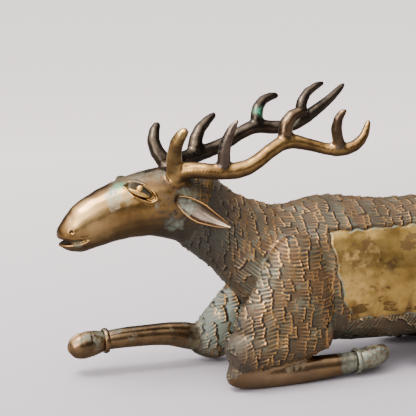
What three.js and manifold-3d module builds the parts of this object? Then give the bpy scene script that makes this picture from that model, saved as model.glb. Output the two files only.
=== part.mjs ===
// A reclining bronze stag: a hollow statuette brazed up from separate castings.
// Millimetres, +Z up. The stag faces -X and its left side is -Y.
// The origin is the centre of its footprint, on the surface that it rests on.
import * as THREE from "three";
import { mergeVertices } from "three/addons/utils/BufferGeometryUtils.js";
import Module from "manifold-3d";

const wasm = await Module();
wasm.setup();

// ---------------------------------------------------------------- driving dimensions
const WALL = 4.5; // wall of the hollow castings
const GAP = 0.3; // braze gap between neighbouring castings
const SPIGOT = 9; // length of the sleeve joint behind the head
const PLATE = { thick: 3, sunk: 0.8 }; // smooth plates let into the flanks
const PLATE_OUTLINE = { front: 12, back: 112, low: 53, high: 138, bow: 10 };
const RING = { thick: 2.6, wide: 5, clear: 0.35 }; // collars over the pastern joints
const FOOT_Y = 46; // the folded legs lie this far from the middle
const MOUTH = { corner: [-203, 143.4], upper: 141.5, lower: 136, front: -233 };
const EYE = { at: [-160.5, 20.5, 184.5], half: [12.5, 3.6, 5.8], tilt: 0.42, toe: 0.13 };

// Each station of a casting is [x, y, z, half height, half width]. The ears and the hind legs
// are written once, for the stag's right side (+Y), and mirrored for its left.
const TRUNK = [
  [-229, 0, 147.5, 7, 6],
  [-223, 0, 146.5, 14.5, 12.5],
  [-213, 0, 147, 19.5, 16],
  [-196, 0, 154.6, 23.3, 19],
  [-178, 0, 161.3, 25.5, 21.5],
  [-162, 0, 165, 27.5, 24.5],
  [-146, 0, 167.5, 30, 27],
  [-126, 0, 166.5, 33, 27.5],
  [-104, 0, 160, 33.5, 27],
  [-82, 0, 142, 33.5, 29],
  [-56.5, 0, 126.5, 39, 36],
  [-32, 0, 111, 51, 45],
  [2, 0, 99, 66, 53],
  [40, 0, 92.5, 69, 57],
  [80, 0, 88.5, 67, 58],
  [120, 0, 88.5, 67, 57],
  [160, 0, 90, 65, 55],
  [195, 0, 91, 55, 47],
  [215, 0, 92, 38, 32],
  [226, 0, 93, 14, 12],
];
const LAST = TRUNK.length - 1;
const HEAD_JOINT = 8 / LAST; // where the head meets the neck, as a share of the spine

const SHOULDER = [
  [-22, 40, 138, 14, 8],
  [-22, 44, 120, 26, 13],
  [-24, 46, 98, 34, 18],
  [-28, 47, 74, 41, 20],
  [-36, 47, 50, 48, 20],
  [-40, 47, 36, 44, 17],
];
const FOREARM = [
  [2, 47, 50, 22, 19],
  [-20, 47, 46, 22, 19.5],
  [-50, 47, 40, 21, 19.5],
  [-74, 47, 36, 20, 19],
  [-88, 47, 31, 14, 14],
];
const ARM = [
  [-18, 26, 92, 24, 18],
  [-34, 32, 73, 21, 18],
  [-50, 38, 52, 20, 18],
  [-64, 42, 33, 21, 18],
  [-72, 42, 20, 20, 17],
  [-77, 42, 4, 18, 15],
];
const THIGH = [
  [176, 38, 130, 18, 8],
  [172, 43, 112, 34, 14],
  [169, 46, 88, 43, 19],
  [167, 47.5, 62, 47, 20.5],
  [169, 47.5, 42, 42, 18],
  [173, 47.5, 32, 34, 14],
];
const SHANKS = {
  foreleg_left: [
    [-88, -FOOT_Y, 20, 9, 9],
    [-79, -FOOT_Y, 16.6, 14.6, 12.6],
    [-58, -FOOT_Y, 13, 13.6, 12],
    [-15, -FOOT_Y, 12, 12.6, 11.5],
    [20, -FOOT_Y, 13, 10.6, 10.2],
    [39, -FOOT_Y, 14.5, 9.2, 9.2],
  ],
  foreleg_right: [
    [-78, 42, 22, 13, 11],
    [-94, 42, 27, 13.5, 12],
    [-113, 42, 31, 11.5, 11],
    [-134, 42, 32, 10.4, 10],
    [-160, 42, 32, 10, 10],
    [-176, 42, 31, 9.2, 9.2],
  ],
  hindleg: [
    [213, FOOT_Y, 18, 9, 9],
    [203, FOOT_Y, 14.4, 15, 13],
    [182, FOOT_Y, 12.4, 13, 12],
    [152, FOOT_Y, 11.6, 12.2, 11.2],
    [129, FOOT_Y, 12.6, 9.2, 9.2],
  ],
};
const HOOVES = {
  foreleg_left: [
    [39, -FOOT_Y, 14.5, 8.8, 8.8],
    [46, -FOOT_Y, 15.4, 10.4, 10.2],
    [57, -45, 17, 11, 10.8],
    [68, -43.5, 19, 8.6, 8.4],
    [75, -42.5, 20.6, 4, 4],
  ],
  foreleg_right: [
    [-176, 42, 31, 8.8, 8.8],
    [-184, 42, 30.4, 11.6, 11],
    [-196, 42, 28.6, 13.2, 12],
    [-206, 42, 26.6, 11, 10],
    [-212.6, 42, 25, 5, 5],
  ],
  hindleg: [
    [129, FOOT_Y, 12.6, 8.8, 8.8],
    [122, FOOT_Y, 13.6, 10.6, 10.2],
    [113, 45.4, 15, 10.6, 10],
    [105.5, 45, 16.6, 7.4, 7],
    [101.5, 45, 17.6, 3.6, 3.6],
  ],
};
const BEAMS = {
  left: [
    [-127, -15, 184, 8, 8],
    [-124, -18, 196, 8.2, 8.2],
    [-111.5, -26, 199.4, 6.8, 6.8],
    [-96, -34, 198, 6.6, 6.6],
    [-79, -38, 198.4, 7.2, 7.2],
    [-65.6, -40, 202, 6.6, 6.6],
    [-54, -40, 209, 6.2, 6.2],
    [-41, -38, 217.5, 6, 6],
    [-27.6, -35, 221.6, 6.6, 6.6],
    [-10.6, -38, 218.4, 5.2, 5.2],
    [5, -42, 214, 5, 5],
    [18, -46, 212.7, 5.6, 5.6],
    [29.6, -50, 216, 5, 5],
    [39, -50, 224.7, 3.9, 3.9],
    [44.8, -48, 239, 2.4, 2.4],
  ],
  right: [
    [-125, 15, 184, 8, 8],
    [-120, 18, 196, 8.2, 8.2],
    [-104, 25, 200, 7.6, 7.6],
    [-82, 34, 204, 7, 7],
    [-62.4, 38, 208.6, 6.2, 6.2],
    [-43.8, 40, 218.6, 6, 6],
    [-27.8, 40, 224.3, 6.4, 6.4],
    [-13.7, 40, 222.6, 6, 6],
    [0.7, 38, 222.2, 5.8, 5.8],
    [18, 38, 228, 5.8, 5.8],
    [35, 42, 237, 5, 5],
    [50, 46, 246, 4, 4],
    [67.6, 50, 259.6, 2.2, 2.2],
  ],
};
const TINES = {
  left: {
    brow: [
      [-126, -17, 194, 7.6, 7.6],
      [-129, -21, 208, 6.6, 6.6],
      [-130, -27, 220, 6, 6],
      [-127.5, -32, 230, 5, 5],
      [-122, -36, 237.6, 3.6, 3.6],
    ],
    second: [
      [-88, -36, 199, 6, 6],
      [-89, -37, 210, 5.6, 5.6],
      [-88.5, -39, 221, 4.8, 4.8],
      [-85.5, -42, 233, 3.8, 3.8],
      [-79, -46, 245.4, 2, 2],
    ],
    third: [
      [-29, -35, 222, 6.4, 6.4],
      [-30.5, -35, 232, 6.4, 6.4],
      [-27, -34.5, 240.6, 5.8, 5.8],
      [-19, -34, 246, 4.8, 4.8],
      [-8, -33, 247.4, 3.2, 3.2],
    ],
    fourth: [
      [18, -46.5, 214, 5.4, 5.4],
      [14, -48, 226, 5, 5],
      [11.5, -52, 238, 4.2, 4.2],
      [14, -54.5, 246, 3.2, 3.2],
      [18.4, -56, 250, 2.2, 2.2],
    ],
  },
  right: {
    brow: [
      [-121, 18, 194, 7.4, 7.4],
      [-127, 21, 204, 6.6, 6.6],
      [-132, 26, 213, 5.8, 5.8],
      [-131, 31, 224, 5, 5],
      [-125, 35.5, 234, 3.6, 3.6],
    ],
    second: [
      [-93, 30, 202, 6.8, 6.8],
      [-91, 32, 211, 6.4, 6.4],
      [-87, 37, 221, 5.6, 5.6],
      [-78, 42, 229.5, 4.4, 4.4],
      [-64.6, 47.4, 237.6, 2.8, 2.8],
    ],
    third: [
      [-27, 40, 225, 5.8, 5.8],
      [-26, 43, 236, 5.4, 5.4],
      [-21, 48, 244.4, 4.6, 4.6],
      [-11, 52, 249, 3.6, 3.6],
      [0.6, 54, 250.4, 2.6, 2.6],
    ],
    fourth: [
      [16, 38, 228, 5.6, 5.6],
      [17.6, 40, 240, 5.2, 5.2],
      [22, 43.6, 249.6, 4.4, 4.4],
      [33, 47, 257, 3.6, 3.6],
      [46, 50, 261.4, 2.4, 2.4],
    ],
  },
};
const EAR = [
  [-129, 24, 175, 5, 4],
  [-123, 29, 172.5, 8, 4.6],
  [-113, 36, 168, 11.5, 5.4],
  [-101, 43, 160, 8.6, 4.6],
  [-89, 48.5, 150.6, 2.4, 2],
];
const EAR_CUP = [
  [-123, 30.6, 172.6, 5.5, 3],
  [-113, 39.6, 166.4, 8.5, 4],
  [-102, 45.6, 159.4, 6, 3.2],
  [-94, 48.8, 153.4, 2, 1.6],
];
const TAIL = [
  [204, 0, 139, 3, 5],
  [217, 0, 130, 4.5, 7.5],
  [225.4, 0, 115, 4.6, 8.5],
  [226.4, 0, 98, 3.6, 6.5],
  [225.6, 0, 87, 2, 3],
];

const BRONZE = { color: 0x7a5a35, roughness: 0.45, metalness: 1 };
const FINISHES = {
  fur_bronze: { color: 0x6b5338, roughness: 0.55, metalness: 1 },
  smooth_bronze: { ...BRONZE, color: 0x8a6236, roughness: 0.38 },
  dark_bronze: { ...BRONZE, color: 0x4b4034, roughness: 0.5 },
  plate_brass: { ...BRONZE, color: 0xa07c3c, roughness: 0.36 },
};

// ---------------------------------------------------------------- shapes and solids
const mirrored = (stations) => stations.map(([x, y, ...rest]) => [x, -y, ...rest]);

// A round-ended casting along a spine. `grow` makes it larger all over, `from` and `to` use
// part of the spine, and `caps` are the shares of it that round off at the two ends.
function loft(stations, options = {}) {
  const { around = 16, along = 14, grow = 0, from = 0, to = 1, caps = [0.12, 0.12] } = options;
  const centres = new THREE.CatmullRomCurve3(
    stations.map(([x, y, z]) => new THREE.Vector3(x, y, z)),
  );
  const sizes = new THREE.CatmullRomCurve3(
    stations.map(([, , , high, wide]) => new THREE.Vector3(high, wide, 0)),
  );
  const geometry = new THREE.SphereGeometry(1, around, along);
  const position = geometry.attributes.position;
  const across = new THREE.Vector3(0, 1, 0);
  for (let i = 0; i < position.count; i += 1) {
    const row = Math.floor(i / (around + 1));
    const turn = ((i % (around + 1)) / around) * 2 * Math.PI;
    const first = caps[0] > 0 ? 0 : 1;
    const last = caps[1] > 0 ? along : along - 1;
    const run = THREE.MathUtils.clamp((row - first) / (last - first), 0, 1);
    const share = caps[0] + caps[1] > 0 ? (1 - Math.cos(Math.PI * run)) / 2 : run;
    const pole = row === 0 || row === along ? 0 : 1;
    const front = caps[0] > 0 ? rounding(share / caps[0]) : 1;
    const back = caps[1] > 0 ? rounding((1 - share) / caps[1]) : 1;
    const t = from + (to - from) * share;
    const size = sizes.getPoint(t);
    const tangent = centres.getTangent(t);
    const side = across.clone().addScaledVector(tangent, -across.dot(tangent)).normalize();
    const up = tangent.clone().cross(side);
    const full = pole * front * back;
    const high = (size.x + grow) * full * Math.sin(turn);
    const wide = (size.y + grow) * full * -Math.cos(turn);
    const reach = share === 0 || share === 1 ? 1 : 1 - front * back;
    const push = share < 0.5 ? -grow * reach : grow * reach;
    const point = centres.getPoint(t);
    point.addScaledVector(side, wide).addScaledVector(up, high);
    point.addScaledVector(tangent, push);
    position.setXYZ(i, point.x, point.y, point.z);
  }
  return solid(geometry);
}

const rounding = (share) => (share >= 1 ? 1 : Math.sqrt(Math.max(0, 1 - (1 - share) ** 2)));

function solid(geometry) {
  const bare = geometry.clone();
  bare.deleteAttribute("normal");
  bare.deleteAttribute("uv");
  const merged = mergeVertices(bare, 1e-4);
  return new wasm.Manifold(
    new wasm.Mesh({
      numProp: 3,
      vertProperties: new Float32Array(merged.attributes.position.array),
      triVerts: new Uint32Array(merged.index.array),
    }),
  );
}

// The largest body of a cut solid: slivers that a cut leaves behind are dropped.
function largest(shape) {
  const bodies = shape.decompose();
  return bodies.reduce((a, b) => (a.volume() > b.volume() ? a : b));
}

function box(low, high) {
  const size = high.map((value, k) => value - low[k]);
  const geometry = new THREE.BoxGeometry(...size);
  geometry.translate(...low.map((value, k) => value + size[k] / 2));
  return solid(geometry);
}

// A slab across the trunk's spine, `before` and `after` a station, to cut the trunk apart.
function slab(share, before, after) {
  const spine = new THREE.CatmullRomCurve3(TRUNK.map(([x, y, z]) => new THREE.Vector3(x, y, z)));
  const at = spine.getPoint(share);
  const along = spine.getTangent(share);
  const geometry = new THREE.BoxGeometry(after - before, 400, 400);
  geometry.translate((before + after) / 2, 0, 0);
  geometry.rotateY(-Math.atan2(along.z, along.x));
  geometry.translate(at.x, at.y, at.z);
  return solid(geometry);
}

const group = new THREE.Group();
const ABOVE_GROUND = box([-400, -200, 0], [400, 200, 400]);

function piece(name, finish, shape) {
  const body_mesh = largest(shape).getMesh();
  const geometry = new THREE.BufferGeometry();
  geometry.setAttribute("position", new THREE.BufferAttribute(body_mesh.vertProperties, 3));
  geometry.setIndex(new THREE.BufferAttribute(body_mesh.triVerts, 1));
  geometry.computeVertexNormals();
  const mesh = new THREE.Mesh(geometry, new THREE.MeshStandardMaterial(FINISHES[finish]));
  mesh.name = name;
  group.add(mesh);
}

// ---------------------------------------------------------------- head, and the trunk's skins
const trunk = (grow, detail = {}) =>
  loft(TRUNK, { around: 24, along: 38, caps: [0.03, 0.04], grow, ...detail });
const skin = trunk(0);
const trunk_clear = trunk(GAP);
const core = { around: 16, along: 20, from: 3.4 / LAST, to: 18.3 / LAST, caps: [0.05, 0.05] };
const hollow = trunk(-WALL, core);
const sleeve = trunk(-WALL + 0.5, core);
const sleeve_clear = trunk(-WALL - GAP, core);
const sleeve_bore = trunk(-2 * WALL, core);

// The sleeve that one casting pushes into the next: half of it backs its own wall.
function spigot(share) {
  const backing = sleeve.subtract(sleeve_bore).intersect(slab(share, -SPIGOT, -GAP / 2));
  const pushed = sleeve_clear.subtract(sleeve_bore).intersect(slab(share, -GAP, SPIGOT));
  return backing.add(pushed);
}

const ear_round = { around: 12, along: 9, caps: [0.08, 0.08] };

function ear(stations, cup, side) {
  const turn = side === "left" ? mirrored : (list) => list;
  const leaf = loft(turn(stations), ear_round);
  return leaf.subtract(loft(turn(cup), { around: 10, along: 7, caps: [0.2, 0.2] }));
}

function eye(side, grow = 0) {
  const sign = side === "left" ? -1 : 1;
  const geometry = new THREE.SphereGeometry(1, 12, 8);
  geometry.scale(...EYE.half.map((half) => half + grow));
  geometry.rotateY(EYE.tilt);
  geometry.rotateZ(sign * EYE.toe);
  geometry.translate(EYE.at[0], sign * EYE.at[1], EYE.at[2]);
  return solid(geometry);
}

const antler_round = { around: 8, along: 26, caps: [0, 0.03] };
const tine_round = { around: 8, along: 8, caps: [0, 0.12] };
const SIDES = ["left", "right"];
const beams = {};
const beams_clear = {};
for (const side of SIDES) {
  beams[side] = loft(BEAMS[side], antler_round);
  beams_clear[side] = loft(BEAMS[side], { ...antler_round, grow: GAP });
}

function mouth() {
  const { corner, upper, lower, front } = MOUTH;
  const outline = new THREE.Shape();
  outline.moveTo(corner[0], corner[1]);
  outline.lineTo(front, upper);
  outline.lineTo(front, lower);
  outline.closePath();
  const geometry = new THREE.ExtrudeGeometry(outline, { depth: 60, bevelEnabled: false });
  geometry.rotateX(Math.PI / 2);
  geometry.translate(0, 30, 0);
  return solid(geometry);
}

let head = skin.subtract(hollow).intersect(slab(HEAD_JOINT, -200, -GAP / 2));
head = head.add(spigot(HEAD_JOINT)).subtract(mouth());
for (const side of SIDES) {
  const turn = side === "left" ? mirrored : (list) => list;
  head = head.subtract(beams_clear[side]);
  head = head.subtract(loft(turn(EAR), { ...ear_round, grow: GAP }));
  head = head.subtract(eye(side, GAP));
}
piece("head", "smooth_bronze", head);

// ---------------------------------------------------------------- flank plates and body
function plate_prism(side, margin) {
  const { front, back, low, high, bow } = PLATE_OUTLINE;
  const [x0, x1, z0, z1] = [front - margin, back + margin, low - margin, high + margin];
  const middle = (z0 + z1) / 2;
  const outline = new THREE.Shape();
  outline.moveTo(x0, z1);
  outline.quadraticCurveTo(x0 + bow * 0.4, middle, x0 + 2.4 * bow, z0);
  outline.lineTo(x1 - 1.2 * bow, z0);
  outline.quadraticCurveTo(x1, middle, x1 - 0.4 * bow, z1);
  outline.closePath();
  const geometry = new THREE.ExtrudeGeometry(outline, { depth: 80, bevelEnabled: false, curveSegments: 6 });
  geometry.rotateX(Math.PI / 2);
  geometry.translate(0, side === "left" ? -15 : 95, 0);
  return solid(geometry);
}

const plate_outer = trunk(-PLATE.sunk, { around: 32 });
const plate_inner = trunk(-PLATE.sunk - PLATE.thick, { around: 28, from: 0.1, to: 0.95 });
let body = skin.subtract(hollow).subtract(slab(HEAD_JOINT, -400, GAP / 2));
for (const side of SIDES) {
  body = body.subtract(plate_prism(side, GAP));
  const plate = plate_outer.subtract(plate_inner).intersect(plate_prism(side, 0));
  piece(`flank_plate_${side}`, "plate_brass", plate);
}
piece("body_shell", "fur_bronze", body);

// ---------------------------------------------------------------- ears, eyes and antlers
for (const side of SIDES) {
  piece(`ear_${side}`, "smooth_bronze", ear(EAR, EAR_CUP, side));
  piece(`eye_${side}`, "smooth_bronze", eye(side));
  const finish = side === "left" ? "smooth_bronze" : "dark_bronze";
  piece(`antler_beam_${side}`, finish, beams[side]);
  for (const [which, stations] of Object.entries(TINES[side])) {
    const tine = loft(stations, tine_round).subtract(beams_clear[side]).subtract(trunk_clear);
    piece(`antler_${side}_${which}_tine`, finish, tine);
  }
}

// ---------------------------------------------------------------- legs
const shank_round = { around: 12, along: 10, caps: [0.14, 0] };
const hoof_round = { around: 12, along: 8, caps: [0, 0.25] };

function lower_leg(name, shank_stations, hoof_stations) {
  const shank = loft(shank_stations, shank_round);
  const joint = hoof_stations[0];
  const toward = Math.sign(hoof_stations[1][0] - joint[0]);
  const [inner, outer] = [joint[3] + RING.clear + 0.4, joint[3] + RING.clear + 0.4 + RING.thick];
  const section = [
    new THREE.Vector2(inner, -RING.wide / 2),
    new THREE.Vector2(outer - 0.8, -RING.wide / 2),
    new THREE.Vector2(outer, 0),
    new THREE.Vector2(outer - 0.8, RING.wide / 2),
    new THREE.Vector2(inner, RING.wide / 2),
    new THREE.Vector2(inner, -RING.wide / 2),
  ];
  const collar = new THREE.LatheGeometry(section, 16);
  collar.rotateZ(Math.PI / 2);
  collar.translate(joint[0], joint[1], joint[2]);
  const ring = solid(collar);
  const room = new THREE.CylinderGeometry(outer + 2, outer + 2, RING.wide + 2 * GAP, 16);
  const neck = new THREE.CylinderGeometry(inner - GAP, inner - GAP, RING.wide + 4 * GAP, 16);
  for (const cut of [room, neck]) cut.rotateZ(Math.PI / 2).translate(joint[0], joint[1], joint[2]);
  const groove = solid(room).subtract(solid(neck));
  const half_space = (sign) => {
    const edge = joint[0] + sign * (GAP / 2);
    return sign > 0 ? box([edge, -200, 0], [400, 200, 400]) : box([-400, -200, 0], [edge, 200, 400]);
  };
  piece(`${name}_shank`, "smooth_bronze", shank.intersect(half_space(-toward)).subtract(groove));
  piece(`${name}_pastern_ring`, "smooth_bronze", ring);
  const hoof = loft(hoof_stations, hoof_round).subtract(groove);
  piece(`${name}_hoof`, "smooth_bronze", hoof.intersect(half_space(toward)));
  return loft(shank_stations, { ...shank_round, grow: GAP });
}

// A fur-covered upper leg: a shell whose open back is closed by the body it is brazed to.
function upper_leg(name, parts, shank_clear) {
  const outer = parts.map((stations) => loft(stations, { around: 16, along: 11, caps: [0.12, 0.1] }));
  const inner = parts.map((stations) =>
    loft(stations, { around: 10, along: 7, caps: [0.12, 0.1], grow: -WALL }),
  );
  const full = outer.reduce((a, b) => a.add(b));
  const cavity = inner.reduce((a, b) => a.add(b));
  // The shell keeps a full wall over the shank that is brazed to it.
  const shell = full.subtract(cavity).subtract(trunk_clear).subtract(shank_clear);
  piece(name, "fur_bronze", shell.intersect(ABOVE_GROUND));
}

const left_shank = lower_leg("foreleg_left", SHANKS.foreleg_left, HOOVES.foreleg_left);
upper_leg("foreleg_left_upper", [mirrored(SHOULDER), mirrored(FOREARM)], left_shank);
const right_shank = lower_leg("foreleg_right", SHANKS.foreleg_right, HOOVES.foreleg_right);
upper_leg("foreleg_right_upper", [ARM], right_shank);
for (const side of SIDES) {
  const turn = side === "left" ? mirrored : (list) => list;
  const shank = lower_leg(`hindleg_${side}`, turn(SHANKS.hindleg), turn(HOOVES.hindleg));
  upper_leg(`hindleg_${side}_upper`, [turn(THIGH)], shank);
}

piece("tail", "fur_bronze", loft(TAIL, { around: 10, along: 9 }).subtract(trunk_clear));

export default group;
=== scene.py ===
"""A reclining bronze stag: the looks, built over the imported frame's own solids.

The castings' outsides are taken from the frame's solids, rounded off, and carved in code:
fur in overlapping tufts, eyelids, nostrils, mouth, cloven hooves and pitted flank plates.
Lengths inside the helpers are millimetres; meshes are written in metres.
"""

import math

import bpy
import numpy as np
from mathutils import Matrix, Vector
from mathutils.bvhtree import BVHTree


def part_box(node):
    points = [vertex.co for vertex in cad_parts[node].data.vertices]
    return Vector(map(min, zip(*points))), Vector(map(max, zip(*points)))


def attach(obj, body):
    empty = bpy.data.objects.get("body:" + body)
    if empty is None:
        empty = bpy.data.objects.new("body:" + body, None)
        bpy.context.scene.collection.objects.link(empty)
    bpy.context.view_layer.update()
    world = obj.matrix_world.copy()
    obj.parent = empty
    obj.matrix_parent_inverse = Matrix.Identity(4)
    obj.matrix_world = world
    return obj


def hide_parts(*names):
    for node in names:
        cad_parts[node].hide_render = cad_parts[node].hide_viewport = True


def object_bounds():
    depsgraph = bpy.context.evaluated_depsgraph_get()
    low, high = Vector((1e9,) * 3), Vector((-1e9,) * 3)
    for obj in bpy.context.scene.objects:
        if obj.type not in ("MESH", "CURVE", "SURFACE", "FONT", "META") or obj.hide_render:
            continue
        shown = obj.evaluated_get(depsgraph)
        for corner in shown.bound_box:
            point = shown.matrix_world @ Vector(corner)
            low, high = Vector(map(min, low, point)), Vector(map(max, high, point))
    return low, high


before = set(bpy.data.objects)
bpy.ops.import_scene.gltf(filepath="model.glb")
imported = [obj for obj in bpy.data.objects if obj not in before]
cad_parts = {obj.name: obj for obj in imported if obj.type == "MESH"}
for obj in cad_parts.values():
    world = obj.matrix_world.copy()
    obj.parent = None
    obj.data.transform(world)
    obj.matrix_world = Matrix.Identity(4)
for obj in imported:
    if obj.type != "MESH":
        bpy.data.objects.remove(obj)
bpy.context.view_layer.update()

MM = 0.001  # metres in a millimetre

# ------------------------------------------------------------------ sizes, in millimetres
SKIN_CELL = 1.3  # grid that the castings are rounded off on; each cell is then halved
RING_CELL = 0.8  # the same for the thin pastern rings
SKIN_REACH = 1.5  # a rounded face this near to an outer triangle is on the outside
SEAM_STEPS = 22  # rounds of smoothing along the seams
FOLD_STEPS = 110  # rounds of smoothing in all; after the seams, in the left knee's fold
TRUNK_STEP = 3.0
TRUNK_RADIUS = 52  # the fur is neither stretched nor squeezed where the trunk is this big
FLANK = 25  # a face further than this from the middle plane is on a flank
OTHER_SIDE = 230  # how far across the fur maps the right side's fur begins

# a tuft's length, its strands' width, how high it stands and how deep it is cut
TUFT = {"long": 10.5, "strand": 3.4, "rise": 2.3, "groove": 1.3}
LEG_TUFT = {"long": 10.5, "strand": 3.2, "rise": 2.4, "groove": 1.5}
BELLY_TUFT = {"long": 14.0, "strand": 3.6, "rise": 2.6, "groove": 1.7}
BREAST_TUFT = {"long": 18.0, "strand": 2.9, "rise": 1.8, "groove": 1.4}

# the flank plates' edges, along and up from the upper front and upper back corner of their box
PLATE_FRONT = [(0, 0), (1, -18), (5, -42), (12, -67), (24, -85)]
PLATE_BACK = [(-1, 0), (3, -43), (-9, -85)]
PLATE_SUNK = 0.9
ANTLER_SWELL = 0.7

# the eye: its almond's half length and half height, its slope, and the rods that stand on it
EYE_SIZE = (12.8, 5.6)
EYE_INSET = 2.2
EYE_SLOPE = (0.89, 0.455)
UPPER_LID = ([-14, -10.5, -6, 1, 8.5, 12.5, 14], [-1, 3.4, 6, 7, 5.4, 3, 0.5])
LOWER_LID = ([-14, -4.5, 4, 10.5, 12.8, 14], [-1, -4.4, -4.6, -3.8, -1.5, 0.5])
EYE_BAND = [(-11.2, 1.0, 4.4), (-4.8, 2.0, 0.8), (1.4, 2.0, -2.0), (8, 0.6, -5.0)]
EYE_BEAD = [(0.2, 1.2, 6.4), (-1.4, 2.2, 4.4), (-3.4, 2.2, 1.4)]
EYE_LID = [(1.6, 0.8, 6.4), (5.6, 1.0, 4.0), (9.6, 0.4, 0.0), (10.8, -0.6, -3.0)]

SIDES = {"left": -1, "right": 1}
LEGS = ("foreleg_left", "foreleg_right", "hindleg_left", "hindleg_right")
TINES = ("brow", "second", "third", "fourth")
FUR_NODES = ["body_shell", "tail"] + [f"{leg}_upper" for leg in LEGS]
ANTLER_NODES = [f"antler_beam_{side}" for side in SIDES]
ANTLER_NODES += [f"antler_{side}_{tine}_tine" for side in SIDES for tine in TINES]
PLATE_NODES = [f"flank_plate_{side}" for side in SIDES]
SHANK_NODES = [f"{leg}_shank" for leg in LEGS]
SKIN_NODES = ["head"] + FUR_NODES + PLATE_NODES + ANTLER_NODES + SHANK_NODES


def spot(node, share, offset=(0, 0, 0)):
    """A place in millimetres: a share of the way across a node's box, and an offset from it."""
    low, high = (np.array(corner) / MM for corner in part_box(node))
    return low + (high - low) * share + offset


# ------------------------------------------------------------------ meshes as arrays
def solid_arrays(names):
    """Corner points, triangles and each triangle's place in names, from the frame's solids."""
    points, triangles, owners = [], [], []
    count = 0
    for number, name in enumerate(names):
        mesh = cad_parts[name].data
        mesh.calc_loop_triangles()
        corners = np.empty(3 * len(mesh.vertices))
        mesh.vertices.foreach_get("co", corners)
        faces = np.empty(3 * len(mesh.loop_triangles), np.int32)
        mesh.loop_triangles.foreach_get("vertices", faces)
        points.append(corners.reshape(-1, 3) / MM)
        triangles.append(faces.reshape(-1, 3) + count)
        owners.append(np.full(len(faces) // 3, number))
        count += len(mesh.vertices)
    return np.concatenate(points), np.concatenate(triangles), np.concatenate(owners)


def new_object(name, points, faces):
    """A smooth-shaded mesh object from points in millimetres and faces of one size."""
    mesh = bpy.data.meshes.new(name)
    mesh.vertices.add(len(points))
    mesh.vertices.foreach_set("co", (np.asarray(points) * MM).ravel())
    size = faces.shape[1]
    mesh.loops.add(faces.size)
    mesh.loops.foreach_set("vertex_index", faces.ravel().astype(np.int32))
    mesh.polygons.add(len(faces))
    mesh.polygons.foreach_set("loop_start", np.arange(0, faces.size, size, dtype=np.int32))
    mesh.polygons.foreach_set("use_smooth", np.ones(len(faces), bool))
    mesh.update(calc_edges=True)
    obj = bpy.data.objects.new(name, mesh)
    bpy.context.scene.collection.objects.link(obj)
    return obj


def after_modifiers(obj):
    """Points and quads of the object with its modifiers applied; the object is removed."""
    graph = bpy.context.evaluated_depsgraph_get()
    mesh = bpy.data.meshes.new_from_object(obj.evaluated_get(graph))
    points = np.empty(3 * len(mesh.vertices))
    mesh.vertices.foreach_get("co", points)
    faces = np.empty(len(mesh.loops), np.int32)
    mesh.loops.foreach_get("vertex_index", faces)
    bpy.data.objects.remove(obj, do_unlink=True)
    bpy.data.meshes.remove(mesh)
    return points.reshape(-1, 3) / MM, faces.reshape(-1, 4)


def compact(points, faces):
    """The points that the faces use, the faces renumbered, and which points were kept."""
    used = np.unique(faces)
    place = np.full(len(points), -1)
    place[used] = np.arange(len(used))
    return points[used], place[faces], used


def averager(quads, count):
    """A function that gives every point the middle of its neighbours along the edges."""
    ends = quads.ravel()
    starts = np.roll(quads, -1, axis=1).ravel()
    links = np.maximum(np.bincount(ends, minlength=count), 1)

    def middle(points):
        sums = [np.bincount(ends, points[starts, k], count) for k in range(3)]
        return np.stack(sums, axis=1) / links[:, None]

    return middle


def relax(points, quads, steps, strength):
    """Evens the surface out: points move towards their neighbours' middle, then partly back."""
    middle = averager(quads, len(points))
    for step in range(steps):
        factor = 0.6 if step % 2 == 0 else -0.42
        points = points + factor * strength[:, None] * (middle(points) - points)
    return points


def normals(points, quads):
    """Unit normals at the points, from the quads round them."""
    a, b, c, d = (points[quads[:, k]] for k in range(4))
    face = np.cross(c - a, d - b)
    total = np.stack(
        [np.bincount(quads.ravel(), np.repeat(face[:, k], 4), len(points)) for k in range(3)],
        axis=1,
    )
    return total / np.maximum(np.linalg.norm(total, axis=1, keepdims=True), 1e-9)


def open_triangles(points, triangles, tree):
    """Which triangles see open space anywhere: the castings' outsides, not their hollows."""
    corners = points[triangles]
    facing = np.cross(corners[:, 1] - corners[:, 0], corners[:, 2] - corners[:, 0])
    facing /= np.maximum(np.linalg.norm(facing, axis=1, keepdims=True), 1e-9)
    places = [(1, 1, 1), (8, 1, 1), (1, 8, 1), (1, 1, 8), (5, 5, 1), (1, 5, 5), (5, 1, 5)]
    rng = np.random.default_rng(3)
    spread = rng.normal(0, 0.7, (12, 3))
    seen = np.zeros(len(triangles), bool)
    for place in places:
        weights = np.array(place, float) / sum(place)
        starts = np.einsum("k,nkc->nc", weights, corners) + facing * 0.4
        for number in np.flatnonzero(~seen):
            start = Vector(starts[number])
            for offset in spread:
                if tree.ray_cast(start, Vector(facing[number] + offset))[0] is None:
                    seen[number] = True
                    break
    return seen


def halved(points, quads, tags):
    """Each quad cut into four, with its tag handed down."""
    count = len(points)
    ends = np.stack([quads, np.roll(quads, -1, axis=1)], axis=2).reshape(-1, 2)
    key = ends.min(axis=1).astype(np.int64) * count + ends.max(axis=1)
    edges, place = np.unique(key, return_inverse=True)
    middles = (points[edges // count] + points[edges % count]) / 2
    centres = points[quads].mean(axis=1)
    side = count + place.reshape(-1, 4)
    centre = count + len(edges) + np.arange(len(quads))
    parts = [
        np.stack([quads[:, k], side[:, k], centre, side[:, k - 1]], axis=1) for k in range(4)
    ]
    return (
        np.concatenate([points, middles, centres]),
        np.concatenate(parts),
        np.concatenate([tags] * 4),
    )


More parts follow.
